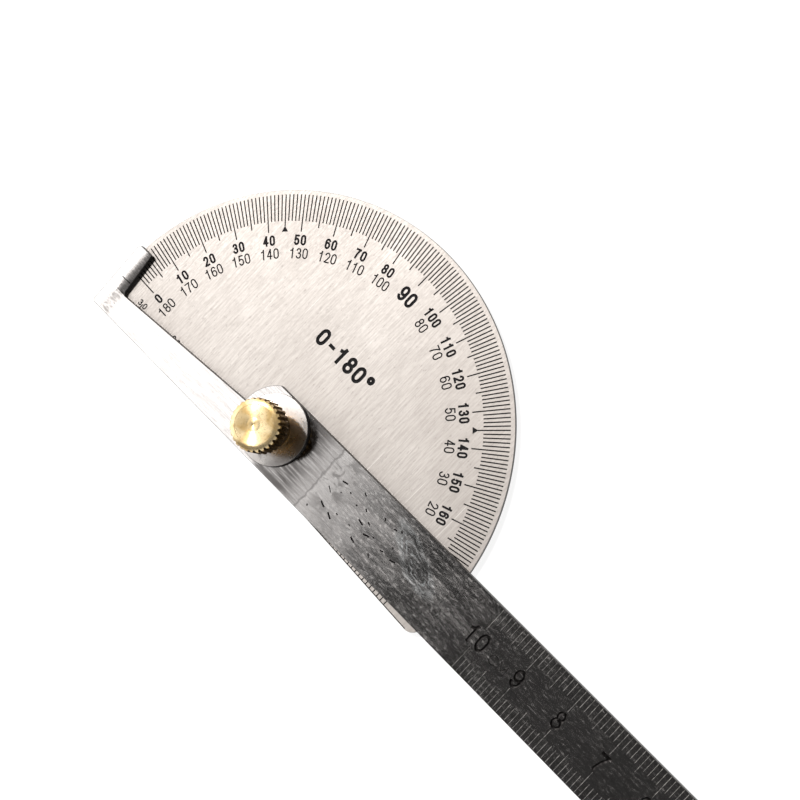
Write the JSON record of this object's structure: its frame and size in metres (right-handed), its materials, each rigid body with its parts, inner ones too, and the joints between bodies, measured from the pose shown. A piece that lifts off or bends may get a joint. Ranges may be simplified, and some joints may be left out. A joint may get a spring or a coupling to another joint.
{
  "type": "protractor",
  "caption": "Half-round steel protractor with a swinging ruler arm, an index window and a knurled brass clamping nut.",
  "frame": {"origin": "on the pivot axis, at the flat underside of the pivot stud's head", "axes": "+Z along the pivot, out of the plate's graduated face; +X along the plate's base towards its 180 degree end; +Y towards its 90 degree mark"},
  "size_m": [0.1989, 0.0541, 0.0134],
  "materials": {
    "satin_plate_steel": "satin, finely brushed, with black filled graduations",
    "stud_steel": "turned",
    "polished_blade_steel": "polished lengthways, worn, with engraved graduations",
    "washer_steel": "bright, fine turned",
    "nut_brass": "turned, with a straight knurl"
  },
  "bodies": {
    "head": {"protractor_plate": "satin_plate_steel", "pivot_stud": "stud_steel"},
    "arm": {"ruler_arm": "polished_blade_steel"},
    "washer": {"clamp_washer": "washer_steel"},
    "nut": {"thumb_nut": "nut_brass"}
  },
  "joints": [
    {"name": "arm_swing", "type": "hinge", "parent": "head", "child": "arm", "pos_m": [0, 0, 0.00257], "axis": [0, 0, 1], "continuous": true},
    {"name": "clamp_lift", "type": "slide", "parent": "head", "child": "washer", "axis": [0, 0, 1], "range_m": [0, 0.0014]},
    {"name": "nut_turn", "type": "hinge", "parent": "washer", "child": "nut", "pos_m": [0, 0, 0.0042], "axis": [0, 0, 1], "range_deg": [0, 720]}
  ],
  "couplings": [
    {"joint": "nut_turn", "follows": "clamp_lift", "rad_per_m": 8976}
  ]
}
